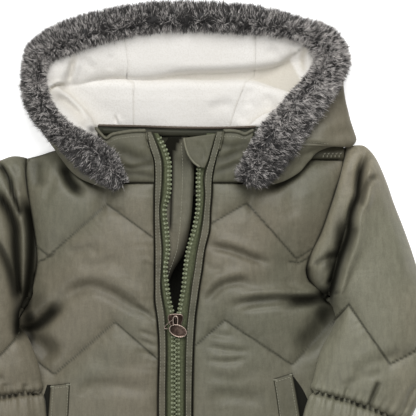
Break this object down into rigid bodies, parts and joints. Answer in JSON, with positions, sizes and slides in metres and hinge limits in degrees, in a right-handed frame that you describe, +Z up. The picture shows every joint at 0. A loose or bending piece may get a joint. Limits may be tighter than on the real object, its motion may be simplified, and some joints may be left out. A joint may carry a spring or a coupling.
{
  "type": "baby winter jacket",
  "caption": "Quilted baby winter jacket laid flat, with a fur-trimmed fleece-lined hood spread open and a part-open front zip.",
  "frame": {"origin": "centre of the jacket's bounding box, on the surface it lies on", "axes": "+X towards the wearer's left, +Y up the garment towards the hood, +Z up off the surface"},
  "size_m": [0.458, 0.4763, 0.047],
  "materials": {
    "shell": "olive satin weave, quilted, soft sheen",
    "trim": "olive satin weave, topstitched",
    "tape": "dark green woven zip tape",
    "fleece": "off-white brushed fleece",
    "fur": "dark grey long-pile faux fur with light flecks",
    "bronze": "dark bronze, worn smooth"
  },
  "bodies": {
    "jacket": {"back_panel": "shell", "front_right": "shell", "front_left": "shell", "sleeve_right": "shell", "sleeve_left": "shell", "cuff_right": "shell", "cuff_left": "shell", "collar_right": "shell", "collar_left": "shell", "collar_back": "trim", "hood_centre": "shell", "hood_side_right": "shell", "hood_side_left": "shell", "lining_centre": "fleece", "lining_side_right": "fleece", "lining_side_left": "fleece", "fur_trim": "fur", "wind_flap": "shell", "chin_guard": "trim", "placket_right": "trim", "placket_left": "trim", "zip_tape_right": "tape", "zip_tape_left": "tape", "welt_right": "trim", "welt_left": "trim", "slider_body": "bronze"},
    "pull": {"pull_link": "bronze", "pull_disc": "bronze"}
  },
  "joints": [
    {"name": "pull_swing", "type": "hinge", "parent": "jacket", "child": "pull", "pos_m": [-0.0004, -0.0486, 0.0343], "axis": [-1, 0, 0], "range_deg": [0, 150]}
  ]
}
